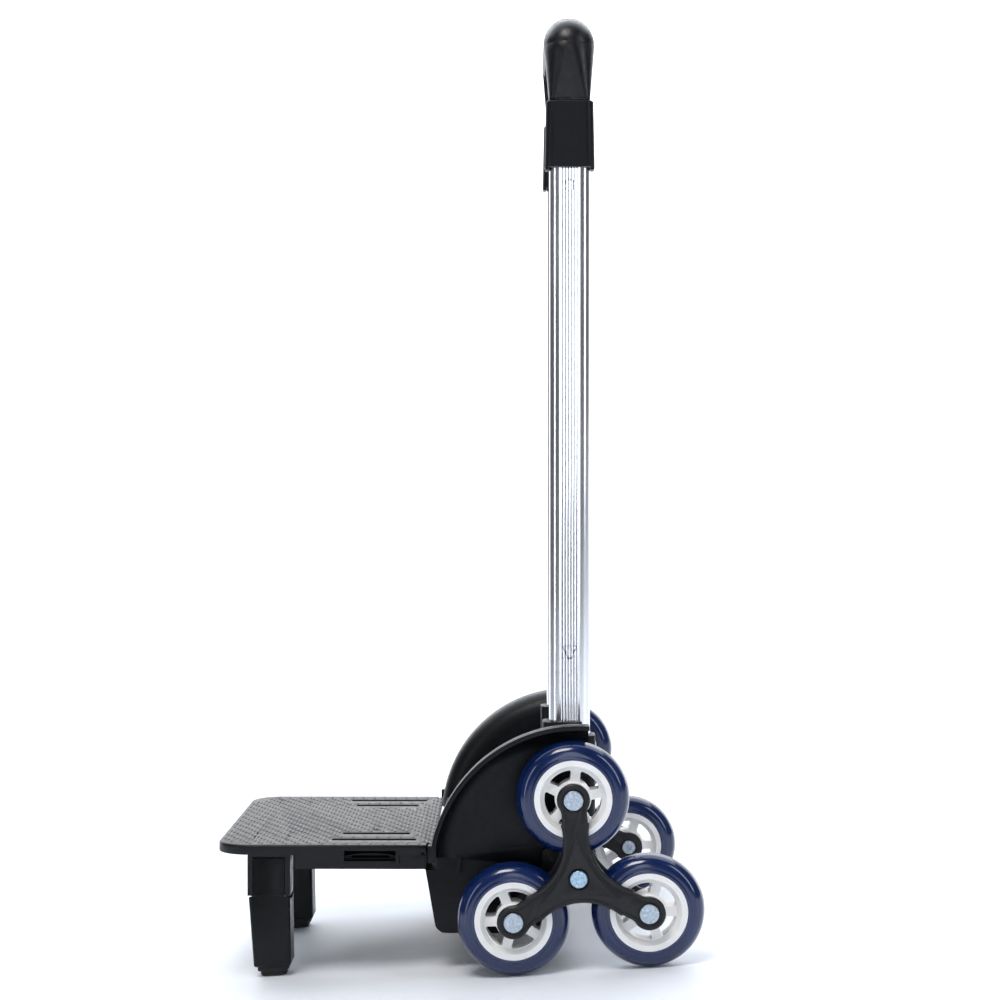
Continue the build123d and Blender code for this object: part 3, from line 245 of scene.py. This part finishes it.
def plated(name, colour, roughness):
    """Zinc-plated steel: cloudy passivation, fine turned or drawn scratches."""
    material = new_material(name, colour, roughness, Metallic=1.0)
    clouds = add_noise(material, 520, 4)
    scratches = add_noise(material, 900, 2, (0.25, 1, 1))
    vary_colour(material, clouds, scaled(colour, 0.6), scaled(colour, 1.15))
    vary_roughness(material, clouds, roughness - 0.06, roughness + 0.14)
    add_relief(material, (scratches, 0.01 * MM))
    return material


def arithmetic(material, operation, first, second=0.0):
    """Math node; each operand is a socket or a number."""
    tree = material.node_tree
    node = tree.nodes.new("ShaderNodeMath")
    node.operation = operation
    for socket, value in zip(node.inputs, (first, second)):
        if isinstance(value, (int, float)):
            socket.default_value = value
        else:
            tree.links.new(value, socket)
    return node.outputs["Value"]


def flutes_and_shade_mask(material):
    """0 in the bottom of the drawn flutes of the mast's broad faces, 1 elsewhere; it shapes the flute
    relief and marks where the painted shade goes.
    """
    tree = material.node_tree
    pitch, flute_relief_and_shade, middle = 2.15 * MM, 6, -4.0 * MM
    coords = tree.nodes.new("ShaderNodeTexCoord")
    along_back = tree.nodes.new("ShaderNodeVectorMath")
    along_back.operation = "DOT_PRODUCT"
    along_back.inputs[1].default_value = BACK
    tree.links.new(coords.outputs["Object"], along_back.inputs[0])
    across = arithmetic(material, "SUBTRACT", along_back.outputs["Value"], AXLE.dot(BACK) + middle)
    away = arithmetic(material, "PINGPONG", arithmetic(material, "ADD", across, pitch / 2), pitch / 2)
    ridge = spread(material, away, 0, 1, 0.3 * MM, 0.85 * MM)
    distance = arithmetic(material, "ABSOLUTE", across)
    outside = arithmetic(material, "GREATER_THAN", distance, pitch * flute_relief_and_shade / 2)
    return arithmetic(material, "MAXIMUM", ridge, outside)


def tube_material():
    """Bright anodised extrusion: fine flutes and die lines that run the length of the mast, with
    painted shade darkening the bottom of each flute.
    """
    material = new_material("tube_aluminium", (0.86, 0.87, 0.89), 0.2, Metallic=1.0)
    flute_relief_and_shade = flutes_and_shade_mask(material)
    die_lines = add_noise(material, 900, 3, (1, 1, 0.004))
    clouds = add_noise(material, 18, 3, (1, 1, 0.4))
    # Painted shade: the base colour goes near black in the flute bottoms, where the grooves fall into
    # shadow.
    vary_colour(material, flute_relief_and_shade, (0.07, 0.075, 0.09), (0.93, 0.935, 0.95), 0.0, 0.5)
    vary_roughness(material, clouds, 0.14, 0.24)
    add_relief(material, (flute_relief_and_shade, 0.3 * MM), (die_lines, 0.006 * MM))
    return material


def rubber_material():
    material = new_material("foot_rubber", (0.012, 0.012, 0.013), 0.75)
    dust = add_noise(material, 260, 4)
    grain = add_noise(material, 2100, 2)
    vary_colour(material, dust, (0.009, 0.009, 0.0095), (0.024, 0.023, 0.022), 0.4, 0.8)
    vary_roughness(material, dust, 0.66, 0.88)
    add_relief(material, (grain, 0.05 * MM))
    return material


MATERIALS = {
    "tyre_blue": tyre_material(),
    "hub_white": hub_material(),
    "bearing_steel": plated("bearing_steel", (0.5, 0.51, 0.53), 0.2),
    "zinc_steel": plated("zinc_steel", (0.52, 0.6, 0.68), 0.34),
    "cap_zinc": plated("cap_zinc", (0.45, 0.62, 0.78), 0.34),
    "cluster_black": moulded("cluster_black", (0.0045, 0.0047, 0.006), 0.36, 1200, 0.05 * MM,
                             Specular_IOR_Level=0.4),
    "body_black": moulded("body_black", (0.0021, 0.0024, 0.0042), 0.42, Specular_IOR_Level=0.24),
    "platform_black": moulded("platform_black", (0.0022, 0.0025, 0.0036), 0.38, 1400, 0.012 * MM,
                              Specular_IOR_Level=0.27),
    "grip_black": moulded("grip_black", (0.0024, 0.0028, 0.0046), 0.36, 900, 0.005 * MM,
                          Specular_IOR_Level=0.42),
    "tube_aluminium": tube_material(),
    "lock_nylon": moulded("lock_nylon", (0.42, 0.41, 0.38), 0.45),
    "foot_rubber": rubber_material(),
}
SLOT = {part["node"]: part["material_slot"] for part in frame["record"]["subparts"]}


def dress(piece, slot):
    """Give a piece the material of a record slot."""
    piece.data.materials.clear()
    piece.data.materials.append(MATERIALS[slot])


for name, node in nodes.items():
    dress(node, SLOT[name])


# ---------------------------------------------------------------- mesh helpers
def new_piece(name, mesh, body, slot, *replaced):
    """Put a mesh in the scene on a CAD body, with the material of a record slot."""
    piece = bpy.data.objects.new(name, mesh)
    scene.collection.objects.link(piece)
    dress(piece, slot)
    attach(piece, body)
    if replaced:
        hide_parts(*replaced)


def body_of(node):
    return nodes[node].parent.name.removeprefix("body:")


def smooth_shaded(mesh, angle):
    """Smooth shading that keeps edges sharper than the angle crisp."""
    mesh.polygons.foreach_set("use_smooth", [True] * len(mesh.polygons))
    mesh.set_sharp_from_angle(angle=radians(angle))


def ease(node, width, smooth=35):
    """The node again with edges over 28 degrees rounded over, in place of the CAD mesh."""
    mesh = nodes[node].data.copy()
    work = bmesh.new()
    work.from_mesh(mesh)
    bmesh.ops.remove_doubles(work, verts=work.verts, dist=0.002 * MM)
    bmesh.ops.dissolve_limit(work, angle_limit=radians(0.4), verts=work.verts, edges=work.edges)
    sharp = [e for e in work.edges if e.is_manifold and e.calc_face_angle() > radians(28)]
    bmesh.ops.bevel(
        work, geom=sharp, offset=width * MM, offset_type="OFFSET", segments=2, profile=0.5,
        affect="EDGES", clamp_overlap=True, loop_slide=True, miter_outer="ARC",
    )
    work.to_mesh(mesh)
    work.free()
    smooth_shaded(mesh, smooth)
    new_piece(node + "_shell", mesh, body_of(node), SLOT[node], node)


def lathe(name, centre, profile, steps, body, slot, *replaced):
    """Closed ring turned about an axis along X; profile holds (across, radius) in millimetres."""
    count = len(profile)
    points = []
    for step in range(steps):
        turn = tau * step / steps
        for across, radius in profile:
            points.append(centre + Vector((across, radius * cos(turn), radius * sin(turn))) * MM)
    faces = []
    for step in range(steps):
        this, following = step * count, (step + 1) % steps * count
        for i in range(count):
            j = (i + 1) % count
            faces.append((this + i, this + j, following + j, following + i))
    mesh = bpy.data.meshes.new(name)
    mesh.from_pydata(points, [], faces)
    work = bmesh.new()
    work.from_mesh(mesh)
    bmesh.ops.recalc_face_normals(work, faces=work.faces)
    work.to_mesh(mesh)
    work.free()
    smooth_shaded(mesh, 30)
    new_piece(name, mesh, body, slot, *replaced)


# ---------------------------------------------------------------- tyres
def tyre_profile():
    """Cast tyre: flat side, a small step, then a round tread with a fine mould seam."""
    half, seat, side, crown = 12.0, 27.4, 31.0, 39.9
    right = [(half - 0.1, seat), (half, seat + 0.3), (half, side - 1.4), (half - 0.15, side - 1.1),
             (half - 0.5, side - 0.9), (half - 0.6, side)]
    steps = 20
    for step in range(1, steps):
        turn = pi / 2 * step / steps
        right.append(((half - 0.6) * cos(turn), side + (crown - side) * sin(turn)))
    right.append((0.25, crown))
    return right + [(0.12, crown + 0.1), (-0.12, crown + 0.1)] + [(-x, r) for x, r in reversed(right)]


def add_tyres():
    for side in SIDES:
        for place in PLACES:
            centre = Vector(joints[f"wheel_{side}_{place}_spin"]["pos_m"])
            lathe(f"tyre_cast_{side}_{place}", centre, tyre_profile(), 120, f"wheel_{side}_{place}",
                  "tyre_blue", f"tyre_{side}_{place}")


# ---------------------------------------------------------------- platform tread
TOP, FRONT, REAR, HALF_WIDTH = 17.7, -257.4, -105.0, 110.5      # ribbed part of the plate, millimetres
CORNER = 18.0                                                   # cut across each front corner
RIB_LONG, RIB_WIDE, RIB_PROUD = 12.0, 1.9, 0.35
RIB_SLANT = 0.09                                                # rearwards per millimetre across
PITCH_BACK, PITCH_ACROSS = 2.9, 15.6
STRAP_BACK = -147.0                                             # middle of the strap slots
STRAP_SIDES = 4.2                                               # kept clear on each side of a slot
STRAP_SLOTS = ((90, 61.6), (64.5, 50))                          # distance from the middle, length
STRAP_ENDS = 2.7                                                # kept clear at each end of a slot


def on_plate(across, back):
    """Whether a rib fits there, clear of the strap slots and the front corners."""
    for place, length in STRAP_SLOTS:
        if abs(back - STRAP_BACK) > length / 2 + STRAP_ENDS:
            continue
        if min(abs(across - place), abs(across + place)) <= RIB_LONG / 2 + STRAP_SIDES:
            return False
    return HALF_WIDTH - CORNER - abs(across) - RIB_LONG / 2 + (back - FRONT) >= 0


def add_tread():
    """Embossed grip pattern: short slanted ribs in staggered rows over the platform top."""
    work = bmesh.new()
    row = 0
    back = FRONT + PITCH_BACK / 2
    while back < REAR:
        across = -HALF_WIDTH + RIB_LONG / 2 + (row % 3) * PITCH_ACROSS / 3
        while across < HALF_WIDTH - RIB_LONG / 2:
            if on_plate(across, back):
                add_rib(work, across, back)
            across += PITCH_ACROSS
        back += PITCH_BACK
        row += 1
    mesh = bpy.data.meshes.new("platform_tread")
    work.to_mesh(mesh)
    work.free()
    smooth_shaded(mesh, 60)
    new_piece("platform_tread", mesh, "platform", "platform_black")


def add_rib(work, across, back):
    """One low rounded rib; its foot is sunk just below the surface."""
    outline = ((-1, -0.55), (-1, 0.55), (-0.86, 1), (0.86, 1),
               (1, 0.55), (1, -0.55), (0.86, -1), (-0.86, -1))
    rings = ((1.0, 0.5, -0.1), (0.97, 0.42, RIB_PROUD * 0.6), (0.9, 0.2, RIB_PROUD))
    loops = []
    for reach, spread_back, rise in rings:
        loop = []
        for end, flank in outline:
            x = end * RIB_LONG / 2 * reach
            y = flank * RIB_WIDE * spread_back
            loop.append(work.verts.new(at(across + x, back + y + x * RIB_SLANT, TOP + rise)))
        loops.append(loop)
    for low, high in zip(loops, loops[1:]):
        for i in range(len(outline)):
            j = (i + 1) % len(outline)
            work.faces.new((low[j], low[i], high[i], high[j]))
    work.faces.new(tuple(reversed(loops[-1])))
    work.faces.new(tuple(loops[0]))


# ---------------------------------------------------------------- floor
def add_sheet(name, corners, material):
    mesh = bpy.data.meshes.new(name)
    mesh.from_pydata(corners, [], [(0, 1, 2, 3)])
    sheet = bpy.data.objects.new(name, mesh)
    scene.collection.objects.link(sheet)
    mesh.materials.append(material)


def add_floor():
    """Pale floor, and a white lit wall far behind the trolley."""
    paper = new_material("studio_paper", (0.9, 0.94, 1.0), 0.5)
    tone = add_noise(paper, 3, 2)
    vary_roughness(paper, tone, 0.42, 0.55)
    add_sheet("floor", [(-6, -8, 0), (4, -8, 0), (4, 8, 0), (-6, 8, 0)], paper)
    glow = new_material("studio_wall", (0.9, 0.9, 0.9), 0.8)
    shader = glow.node_tree.nodes["Principled BSDF"]
    shader.inputs["Emission Color"].default_value = (1, 1, 1, 1)
    shader.inputs["Emission Strength"].default_value = 0.95
    add_sheet("wall", [(-5.9, -8, -0.2), (-5.9, 8, -0.2), (-5.9, 8, 7), (-5.9, -8, 7)], glow)
    lift = 0.002
    add_sheet("far_floor", [(-5.9, -8, lift), (-2.4, -8, lift), (-2.4, 8, lift), (-5.9, 8, lift)], glow)


# ---------------------------------------------------------------- build
EASED = {       # width of the rounding on each CAD node, millimetres
    "platform": 0.5,
    "chassis": 0.5,
    "mast_bracket": 0.5,
    "mast_collar": 0.8,
    "release_button": 0.4,
}
for side in SIDES:
    EASED[f"wheel_guard_{side}"] = 0.7
    EASED[f"leg_{side}"] = 0.6
    EASED[f"foot_{side}"] = 0.6
    EASED[f"cluster_outer_plate_{side}"] = 0.5
    EASED[f"cluster_inner_plate_{side}"] = 0.4

scene.view_settings.view_transform = "Standard"
add_camera()
add_studio()
add_floor()
add_tyres()
add_tread()
for node_name, width in EASED.items():
    ease(node_name, width)
ease("handle_grip", 0.6, smooth=80)
